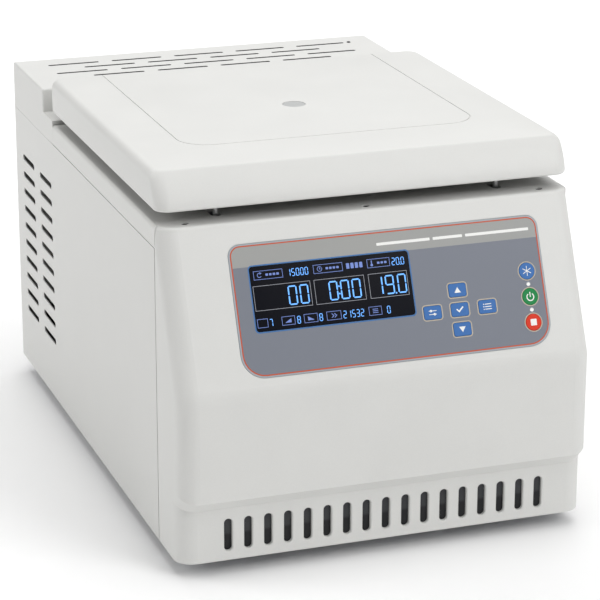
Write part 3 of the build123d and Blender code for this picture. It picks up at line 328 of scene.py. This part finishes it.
# ---------------------------------------------------------------- flat shapes on the panel
def arc(cx, cy, radius, start, end, steps=8):
    """Points along an arc, angles in degrees."""
    angles = [math.radians(start + (end - start) * i / steps) for i in range(steps + 1)]
    return [(cx + radius * math.cos(a), cy + radius * math.sin(a)) for a in angles]


def rounded(cx, cy, width, height, top, bottom=None):
    """Rounded rectangle with its own radius for the top and the bottom corners."""
    bottom = top if bottom is None else bottom
    right, up = width / 2, height / 2
    return (
        arc(cx + right - top, cy + up - top, top, 0, 90)
        + arc(cx - right + top, cy + up - top, top, 90, 180)
        + arc(cx - right + bottom, cy - up + bottom, bottom, 180, 270)
        + arc(cx + right - bottom, cy - up + bottom, bottom, 270, 360)
    )


def disc(cx, cy, radius, steps=40):
    """Circle of that many points."""
    return arc(cx, cy, radius, 0, 360 * (1 - 1 / steps), steps - 1)


def box_loop(left, right, low, high):
    """Rectangle between those edges."""
    return [(left, low), (right, low), (right, high), (left, high)]


INK = 0.03      # thickness of ink, in mm


class Drawing:
    """Collects flat shapes, in millimetres on a plane, into one thin mesh."""

    def __init__(self):
        self.points = []
        self.faces = []

    def add(self, outer, *holes, high=INK):
        """A plate with holes, from the plane to a height above it."""
        loops = [[Vector((x, y, 0)) for x, y in loop] for loop in (outer, *holes)]
        flat = [point for loop in loops for point in loop]
        base = len(self.points)
        self.points += [(v.x, v.y, rise) for rise in (high, 0.0) for v in flat]
        count = len(flat)
        for a, b, c in tessellate_polygon(loops):
            turn = (flat[b] - flat[a]).cross(flat[c] - flat[a]).z
            a, b, c = (a, b, c) if turn > 0 else (a, c, b)
            self.faces.append((base + a, base + b, base + c))
            self.faces.append((base + count + a, base + count + c, base + count + b))
        start = 0
        for index, loop in enumerate(loops):
            area = sum(loop[i - 1].cross(loop[i]).z for i in range(len(loop)))
            outward = (area > 0) == (index == 0)
            for i in range(len(loop)):
                p, q = base + start + i, base + start + (i + 1) % len(loop)
                side = (q, p, p + count, q + count) if outward else (p, q, q + count, p + count)
                self.faces.append(side)
            start += len(loop)
        return self

    def piece(self, name, matrix, material, body, slot):
        """Makes the mesh object, in place, riding on its body."""
        mesh = bpy.data.meshes.new(name)
        placed = [matrix @ (Vector(point) * MM) for point in self.points]
        mesh.from_pydata(placed, [], self.faces)
        mesh.materials.append(material)
        mesh.validate()
        piece = bpy.data.objects.new(name, mesh)
        bpy.context.scene.collection.objects.link(piece)
        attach(piece, body)
        return piece


# ---------------------------------------------------------------- the panel's own plane
# the keys are pressed straight into the slanted panel
key_joint = next(joint for joint in frame["joints"] if joint["name"] == "key_set_press")
PANEL_NORMAL = -Vector(key_joint["axis"]).normalized()
PANEL_RIGHT = Vector((1, 0, 0))
PANEL_UP = PANEL_NORMAL.cross(PANEL_RIGHT)


def extent(node, direction):
    """Lowest and highest reach of a node along a direction, in metres."""
    reach = [v.co.dot(direction) for v in nodes[node].data.vertices]
    return min(reach), max(reach)


def plane_on(node, height=0.0):
    """Plane on top of a panel node, its origin in the middle of the node, raised by some mm."""
    x = sum(extent(node, PANEL_RIGHT)) / 2
    up = sum(extent(node, PANEL_UP)) / 2
    out = extent(node, PANEL_NORMAL)[1] + height * MM
    origin = PANEL_RIGHT * x + PANEL_UP * up + PANEL_NORMAL * out
    turn = Matrix((PANEL_RIGHT, PANEL_UP, PANEL_NORMAL)).transposed().to_4x4()
    return Matrix.Translation(origin) @ turn


def size_on(node):
    """Width and height of a node on the panel's plane, in millimetres."""
    x, up = extent(node, PANEL_RIGHT), extent(node, PANEL_UP)
    return (x[1] - x[0]) / MM, (up[1] - up[0]) / MM


PANEL = plane_on("keypad_panel")
PANEL_W, PANEL_H = size_on("keypad_panel")
WINDOW_W, WINDOW_H = size_on("display_window")
TO_PANEL = PANEL.inverted()


def centre_on_panel(node):
    """Centre of a node in the panel's plane, in millimetres."""
    there = TO_PANEL @ plane_on(node).translation
    return there.x / MM, there.y / MM


KEYS = ["key_up", "key_enter", "key_down", "key_set", "key_prog"]
ROUND = ["key_fast_temp", "key_start", "key_stop"]
WINDOW_X, WINDOW_Y = centre_on_panel("display_window")

# the film's print, in millimetres
TOP_R, BOTTOM_R = 11.0, 22.0    # the film's corners
PRINT_EDGE = 2.6                # film's edge to the printed fields
BAND_H = 21.0                   # film's top edge to the foot of the light band
LINE_EDGES = 1.6, 2.7           # film's edge to both sides of the orange outline
WINDOW_FIT, WINDOW_R = 0.3, 3.0     # hole for the display window: wider by, and corners
BEZEL_W, BEZEL_R = 1.3, 4.0         # blue line around the window
KEY_OPEN_W, KEY_OPEN_H, KEY_OPEN_R = 17.8, 12.9, 2.3
ROUND_OPEN_R = 8.0
LED_OPEN_R = 2.05
KEY_RIM, ROUND_RIM = 1.0, 0.9       # beige lines around the keys
LINE_RISE, RIM_RISE, TITLE_RISE = 0.06, 0.07, 0.09      # ink over the film, layer by layer

# the name line on the band is a row of plain printed bars
TITLE_X, TITLE_DOWN, TITLE_W, TITLE_H, TITLE_R = 65.5, 12.7, 150.0, 2.6, 0.6
TITLE_BARS = ((0, 52), (55, 84), (87, 150))


def key_openings():
    """Holes in the print for the keys."""
    holes = [rounded(*centre_on_panel(k), KEY_OPEN_W, KEY_OPEN_H, KEY_OPEN_R) for k in KEYS]
    return holes + [disc(*centre_on_panel(k), ROUND_OPEN_R) for k in ROUND]


def window_hole():
    """Hole in the print for the display window."""
    return rounded(WINDOW_X, WINDOW_Y, WINDOW_W + WINDOW_FIT, WINDOW_H + WINDOW_FIT, WINDOW_R)


def panel_loop(margin):
    """The film's outline, moved inwards."""
    width, height = PANEL_W - 2 * margin, PANEL_H - 2 * margin
    return rounded(0, 0, width, height, TOP_R - margin, BOTTOM_R - margin)


def led_openings():
    """Holes in the print for the lamps between the round keys."""
    x, _ = centre_on_panel("key_start")
    ys = [(centre_on_panel(a)[1] + centre_on_panel(b)[1]) / 2 for a, b in zip(ROUND, ROUND[1:])]
    return [disc(x, y, LED_OPEN_R, 20) for y in ys]


def panel_fields():
    """The light band along the film's top, and the darker field with holes under it."""
    split = PANEL_H / 2 - BAND_H
    top, bottom = TOP_R - PRINT_EDGE, BOTTOM_R - PRINT_EDGE
    right, up = PANEL_W / 2 - PRINT_EDGE, PANEL_H / 2 - PRINT_EDGE
    band = (
        [(-right, split), (right, split)]
        + arc(right - top, up - top, top, 0, 90)
        + arc(-right + top, up - top, top, 90, 180)
    )
    field = (
        arc(-right + bottom, -up + bottom, bottom, 180, 270)
        + arc(right - bottom, -up + bottom, bottom, 270, 360)
        + [(right, split), (-right, split)]
    )
    holes = [window_hole()] + key_openings() + led_openings()
    return Drawing().add(band), Drawing().add(field, *holes)


def key_rims():
    """Lines around the keys."""
    rims = Drawing()
    for k in KEYS:
        x, y = centre_on_panel(k)
        width, height = KEY_OPEN_W + 2 * KEY_RIM, KEY_OPEN_H + 2 * KEY_RIM
        rims.add(
            rounded(x, y, width, height, KEY_OPEN_R + KEY_RIM),
            rounded(x, y, KEY_OPEN_W, KEY_OPEN_H, KEY_OPEN_R),
            high=RIM_RISE,
        )
    for k in ROUND:
        x, y = centre_on_panel(k)
        rims.add(disc(x, y, ROUND_OPEN_R + ROUND_RIM), disc(x, y, ROUND_OPEN_R), high=RIM_RISE)
    return rims


def title_bars():
    """The bars that stand for the name line."""
    bars = Drawing()
    left, middle = TITLE_X - TITLE_W / 2, PANEL_H / 2 - TITLE_DOWN
    for start, end in TITLE_BARS:
        bar = rounded(left + (start + end) / 2, middle, end - start, TITLE_H, TITLE_R)
        bars.add(bar, high=TITLE_RISE)
    return bars


def panel_print():
    """Everything that is printed on the film."""
    band, field = panel_fields()
    outline = Drawing().add(*[panel_loop(edge) for edge in LINE_EDGES], high=LINE_RISE)
    width, height = WINDOW_W + 2 * BEZEL_W, WINDOW_H + 2 * BEZEL_W
    bezel = rounded(WINDOW_X, WINDOW_Y, width, height, BEZEL_R)
    for name, drawing, ink in (
        ("panel_band", band, BAND_GREY),
        ("panel_field", field, FIELD_GREY),
        ("panel_outline", outline, ORANGE),
        ("window_outline", Drawing().add(bezel, window_hole(), high=RIM_RISE), WINDOW_BLUE),
        ("key_outlines", key_rims(), BEIGE),
        ("panel_title_bars", title_bars(), WHITE_INK),
    ):
        drawing.piece(name, PANEL, ink, "chassis", "panel_film")


# ---------------------------------------------------------------- display
SEGMENTS = {
    "0": "abcdef", "1": "bc", "2": "abged", "3": "abgcd", "4": "fgbc",
    "5": "afgcd", "6": "afgedc", "7": "abc", "8": "abcdefg", "9": "abcfgd",
}
SEGMENT_GAP, SEGMENT_FILL = 0.16, 0.92      # shares of a segment's thickness
POINT_GAP, COLON_GAP = 0.35, 0.5            # after the digit before them, in mm
POINT_STEP = 0.6                            # extra room for a point, a share of its width
COLON_RISES = 0.28, 0.66                    # shares of the digits' height


def digit(drawing, symbol, left, low, width, height, thick):
    """Seven-segment digit made of bars with bevelled ends."""
    gap = thick * SEGMENT_GAP
    mid = low + height / 2
    x0, x1 = left + thick / 2, left + width - thick / 2
    y0, y1 = low + thick / 2, low + height - thick / 2
    bars = {
        "a": ((x0, y1), (x1, y1)), "b": ((x1, mid), (x1, y1)), "c": ((x1, y0), (x1, mid)),
        "d": ((x0, y0), (x1, y0)), "e": ((x0, y0), (x0, mid)), "f": ((x0, mid), (x0, y1)),
        "g": ((x0, mid), (x1, mid)),
    }
    half = thick / 2 * SEGMENT_FILL
    for name in SEGMENTS[symbol]:
        (ax, ay), (bx, by) = bars[name]
        length = math.hypot(bx - ax, by - ay)
        ux, uy = (bx - ax) / length, (by - ay) / length
        ax, ay, bx, by = ax + ux * gap, ay + uy * gap, bx - ux * gap, by - uy * gap
        loop = []
        for px, py, sign in ((ax, ay, 1), (bx, by, -1)):
            sx, sy = ux * half * sign, uy * half * sign
            tx, ty = -uy * half * sign, ux * half * sign
            loop += [(px + sx + tx, py + sy + ty), (px, py), (px + sx - tx, py + sy - ty)]
        drawing.add(loop)


def number(drawing, text, left, low, width, height, thick, pitch):
    """Number in seven-segment digits, with points and colons between them."""
    x = left
    for symbol in text:
        if symbol == ".":
            start = x - pitch + width + POINT_GAP
            drawing.add(box_loop(start, start + thick, low, low + thick))
            x += POINT_STEP * thick
        elif symbol == ":":
            start = x - pitch + width + COLON_GAP
            for rise in COLON_RISES:
                y = low + height * rise
                drawing.add(box_loop(start, start + thick, y, y + thick))
        else:
            digit(drawing, symbol, x, low, width, height, thick)
            x += pitch


# Each symbol function gives a list of shapes, drawn in mm about (x, y). A shape is a list of
# loops: its outline and then its holes.
def turn_symbol(x, y):
    """Speed: an open ring with an arrow head."""
    outer, inner, start, end = 2.2, 1.6, 60, 330
    ring = arc(x, y, outer, start, end, 16) + arc(x, y, inner, end, start, 16)
    return [[ring], [[(x + 0.3, y + 2.9), (x + 2.4, y + 1.7), (x + 0.5, y + 0.6)]]]


def clock_symbol(x, y):
    """Time: a ring with two hands."""
    upright = [(x + 0.25, y + 0.2), (x + 0.25, y + 1.5)]
    hands = [(x - 0.25, y + 1.5), (x - 0.25, y - 0.3), (x + 1.2, y - 0.3), (x + 1.2, y + 0.2)]
    return [[disc(x, y, 2.4, 24), disc(x, y, 1.9, 24)], [hands + upright]]


def heat_symbol(x, y):
    """Temperature: a thermometer's bulb and stem."""
    return [[disc(x, y - 1.5, 1.25, 20)], [rounded(x, y + 1.1, 1.0, 3.4, 0.45)]]


def slope_symbol(rise):
    """Acceleration or braking: a ramp."""
    half_w, half_h, toe = 2.8, 1.8, 0.4

    def draw(x, y):
        low, high = y - half_h, y + half_h
        first, last = (low + toe, high) if rise else (high, low + toe)
        left, right = x - half_w, x + half_w
        return [[[(left, low), (right, low), (right, last), (left, first)]]]

    return draw


def list_symbol(x, y):
    """Programme: three lines."""
    reach, half, pitch = 2.6, 0.3, 1.6
    rows = (y - pitch, y, y + pitch)
    return [[box_loop(x - reach, x + reach, row - half, row + half)] for row in rows]


def double_symbol(x, y):
    """Relative force: two chevrons, as for faster."""
    half = 1.9
    shapes = []
    for middle in (x - 1.6, x + 1.0):
        back = [(middle - 1, y + half), (middle + 1, y), (middle - 1, y - half)]
        front = [(middle, y - half), (middle + 2, y), (middle, y + half)]
        shapes.append([back + front])
    return shapes


# the display's layout, in mm across from the glass's left edge and down from its top edge
ON_GLASS = 0.02                             # the lit shapes stand this far over the glass
LABEL_ROW, LABEL_MIDDLE = (4.2, 12.2), 8.2      # captions along the top
STATE_ROW, STATE_MIDDLE = (47.2, 55.2), 51.2    # captions along the foot
VALUE_ROW = 17.6, 40.0                          # large values between them
LABEL_LINE, VALUE_LINE = 0.45, 0.4              # thickness of the boxes' lines
LABEL_BOXES = (3.5, 31), (60, 88), (111.5, 133.5)
STATE_BOXES = (24.5, 37), (45.5, 58.5), (67, 81), (107.5, 120), (1.5, 11.5)
VALUE_BOXES = (1.5, 55.5), (59, 107), (111, 148.5)
SMALL = {"width": 3.3, "height": 7.0, "thick": 0.7, "pitch": 4.2}
LARGE = {"width": 8.6, "height": 17.6, "thick": 1.35, "pitch": 11.0}
NUMBERS = (
    ("15000", 35, 12, SMALL),
    ("20.0", 135.3, 12, SMALL),
    ("00", 33.6, 37.8, LARGE),
    ("0:00", 72.4, 37.8, LARGE),
    ("19.0", 115.5, 37.8, LARGE),
    ("7", 12.8, 55, SMALL),
    ("8", 39, 55, SMALL),
    ("8", 60, 55, SMALL),
    ("21532", 82.8, 55, SMALL),
    ("0", 125, 55, SMALL),
)
SYMBOLS = (
    (turn_symbol, 9, LABEL_MIDDLE),
    (clock_symbol, 66, LABEL_MIDDLE),
    (heat_symbol, 116, LABEL_MIDDLE),
    (slope_symbol(True), 30.7, STATE_MIDDLE),
    (slope_symbol(False), 52, STATE_MIDDLE),
    (double_symbol, 74, STATE_MIDDLE),
    (list_symbol, 113.8, STATE_MIDDLE),
)
DASH = {"pitch": 3.4, "width": 2.4, "height": 2.0, "radius": 0.4}
CELL = {"pitch": 4.2, "width": 3.0, "height": 5.0, "radius": 0.5}
BAR_ROWS = ((16, 4, DASH), (73, 4, DASH), (122.5, 3, DASH), (93, 4, CELL))


def box_lines(line, *rows):
    """Outlined boxes. A row is the boxes' spans across and their one span down."""
    drawing = Drawing()
    for spans, (above, below) in rows:
        low, high = WINDOW_H / 2 - below, WINDOW_H / 2 - above
        for start, end in spans:
            left, right = start - WINDOW_W / 2, end - WINDOW_W / 2
            inner = box_loop(left + line, right - line, low + line, high - line)
            drawing.add(box_loop(left, right, low, high), inner)
    return drawing


def bar_row(drawing, x, y, count, pitch, width, height, radius):
    """Row of equal bars."""
    for step in range(count):
        drawing.add(rounded(x + pitch * step, y, width, height, radius))


def display():
    """What the display shows: boxes, symbols, bars and values."""
    left, top = -WINDOW_W / 2, WINDOW_H / 2
    values, symbols, bars = Drawing(), Drawing(), Drawing()
    for text, across, down, style in NUMBERS:
        number(values, text, left + across, top - down, **style)
    for symbol, across, down in SYMBOLS:
        for loops in symbol(left + across, top - down):
            symbols.add(*loops)
    for across, count, style in BAR_ROWS:
        bar_row(bars, left + across, top - LABEL_MIDDLE, count, **style)
    labels = box_lines(LABEL_LINE, (LABEL_BOXES, LABEL_ROW), (STATE_BOXES, STATE_ROW))
    boxes = box_lines(VALUE_LINE, (VALUE_BOXES, VALUE_ROW))

    glass = plane_on("display_window", ON_GLASS)
    for name, drawing, light in (
        ("lcd_values", values, LCD_BRIGHT),
        ("lcd_label_boxes", labels, LCD_DIM),
        ("lcd_value_boxes", boxes, LCD_GREY),
        ("lcd_label_symbols", symbols, LCD_DIM),
        ("lcd_state_bars", bars, LCD_DIM),
    ):
        drawing.piece(name, glass, light, "chassis", "display_glass")


# ---------------------------------------------------------------- key legends
LEGEND_RISE = 0.02      # the ink's plane over a key's top, in mm
LAYER = 0.002           # where shapes of a legend cross, the later ones stand higher by layers


# Each legend is drawn in mm about the middle of its key.
def arrow(sign):
    """Arrow head, for raising (1) or lowering (-1) a value."""

    half, foot, tip = 3.2, -2.4 * sign, 2.72 * sign

    def draw(drawing):
        drawing.add([(-half, foot), (half, foot), (0, tip)])

    return draw


def tick(drawing):
    """Check mark, for accepting a value."""
    upper = [(-3.6, 0.2), (-2.7, 1.1), (-1.0, -0.7), (2.8, 2.9)]
    drawing.add(upper + [(3.7, 2.0), (-1.0, -2.6)])


def sliders(drawing):
    """Two bars with knobs on them, for changing a value."""
    reach, half, side, knob_r = 3.8, 0.3, 1.6, 1.15
    for y, knob_x in ((side, -side), (-side, side)):
        drawing.add(box_loop(-reach, reach, y - half, y + half))
        drawing.add(disc(knob_x, y, knob_r, 20), high=INK + 5 * LAYER)


def lines(drawing):
    """Three lines with dots before them, for a stored programme."""
    pitch, dot_x, dot_r, left, right, half = 2.3, -3.6, 0.55, -2.4, 4.0, 0.38
    for y in (-pitch, 0, pitch):
        drawing.add(disc(dot_x, y, dot_r, 12))
        drawing.add(box_loop(left, right, y - half, y + half))


def frost(drawing):
    """Six-armed star with dots between its arms, for fast cooling."""
    arm, half, dots_at, dot_r = 4.6, 0.32, 2.3, 0.42
    for turn in range(3):
        angle = math.radians(90 + 60 * turn)
        along = Vector((math.cos(angle), math.sin(angle)))
        across = Vector((-along.y, along.x)) * half
        tip = along * arm
        corners = (tip + across, across - tip, -tip - across, tip - across)
        drawing.add([(c.x, c.y) for c in corners], high=INK + 2 * LAYER * turn)
    for turn in range(6):
        angle = math.radians(30 + 60 * turn)
        drawing.add(disc(dots_at * math.cos(angle), dots_at * math.sin(angle), dot_r, 12))


def power(drawing):
    """Ring that is open at the top, and a bar in the opening, for starting."""
    middle, outer, inner, bar_half, bar_top = -0.4, 3.9, 2.9, 0.5, 4.2
    start, end = 125, 415
    ring = arc(0, middle, outer, start, end, 18) + arc(0, middle, inner, end, start, 18)
    drawing.add(ring)
    drawing.add(box_loop(-bar_half, bar_half, middle, bar_top))


def square(drawing):
    """Square, for stopping."""
    side, corner = 6.0, 0.6
    drawing.add(rounded(0, 0, side, side, corner))


LEGENDS = {
    "key_up": arrow(1),
    "key_enter": tick,
    "key_down": arrow(-1),
    "key_set": sliders,
    "key_prog": lines,
    "key_fast_temp": frost,
    "key_start": power,
    "key_stop": square,
}


def key_legends():
    """White symbols on the keys."""
    slots = {entry["node"]: entry["material_slot"] for entry in record["subparts"]}
    for key, draw in LEGENDS.items():
        drawing = Drawing()
        draw(drawing)
        drawing.piece(key + "_symbol", plane_on(key, LEGEND_RISE), WHITE_INK, key, slots[key])


panel_print()
display()
key_legends()


# ---------------------------------------------------------------- room, lights and camera
FLOOR_REACH = 12.0      # metres each way
# name, place, point it faces, size and power of each light, in metres and watts
LIGHTS = (
    ("key_light", (1.5, -2.6, 2.3), (0, -0.1, 0.2), (1.6, 1.4), 42),
    ("side_light", (-2.7, 1.2, 1.7), (0, 0, 0.15), (1.6, 1.6), 26),
    ("top_light", (0.2, -0.5, 3.0), (0.1, -0.2, 0.3), (3.0, 2.6), 40),
    ("backdrop_light", (1.0, 3.0, 2.6), (1.0, 3.4, 0), (4.0, 2.4), 90),
)
WORLD_LIGHT = 0.36
CAMERA_AT = (-0.7982, -2.3314, 0.9894)
CAMERA_TURN = (-19.3, 18.75, 0.12)      # azimuth, elevation and roll, in degrees
LENS, SENSOR = 154.4, 36.0
CLIP = 0.05, 60.0


def floor():
    """Pale floor under the machine."""
    mesh = bpy.data.meshes.new("floor")
    corners = [(x, y, 0) for x, y in box_loop(-FLOOR_REACH, FLOOR_REACH, -FLOOR_REACH, FLOOR_REACH)]
    mesh.from_pydata(corners, [], [(0, 1, 2, 3)])
    paper = surface("pale_floor", (0.98, 0.98, 0.98), 0.7, grain=40, variation=0.004, specular=0.1)
    mesh.materials.append(paper)
    ground = bpy.data.objects.new("floor", mesh)
    bpy.context.scene.collection.objects.link(ground)


def softbox(name, at, towards, size, watts):
    """Rectangular area light."""
    data = bpy.data.lights.new(name, "AREA")
    data.shape = "RECTANGLE"
    data.size, data.size_y = size
    data.energy = watts
    lamp = bpy.data.objects.new(name, data)
    lamp.location = at
    lamp.rotation_euler = (Vector(towards) - Vector(at)).to_track_quat("-Z", "Y").to_euler()
    bpy.context.scene.collection.objects.link(lamp)


def studio():
    """Even pale light from all round."""
    world = bpy.data.worlds.new("studio")
    world.use_nodes = True
    background = world.node_tree.nodes["Background"]
    background.inputs["Color"].default_value = (1, 1, 1, 1)
    background.inputs["Strength"].default_value = WORLD_LIGHT
    bpy.context.scene.world = world
    bpy.context.scene.view_settings.view_transform = "Standard"


def camera():
    """Camera at the viewing angle, aimed by its azimuth, elevation and a slight roll."""
    azimuth, elevation, roll = (math.radians(angle) for angle in CAMERA_TURN)
    level = math.cos(elevation)
    back = Vector((math.sin(azimuth) * level, -math.cos(azimuth) * level, math.sin(elevation)))
    right = Vector((math.cos(azimuth), math.sin(azimuth), 0))
    up = back.cross(right)
    right, up = (
        right * math.cos(roll) + up * math.sin(roll),
        up * math.cos(roll) - right * math.sin(roll),
    )
    data = bpy.data.cameras.new("camera")
    data.lens, data.sensor_width = LENS, SENSOR
    data.clip_start, data.clip_end = CLIP
    view = bpy.data.objects.new("camera", data)
    bpy.context.scene.collection.objects.link(view)
    turn = Matrix((right, up, back)).transposed().to_4x4()
    view.matrix_world = Matrix.Translation(CAMERA_AT) @ turn
    bpy.context.scene.camera = view


floor()
for light in LIGHTS:
    softbox(*light)
studio()
camera()
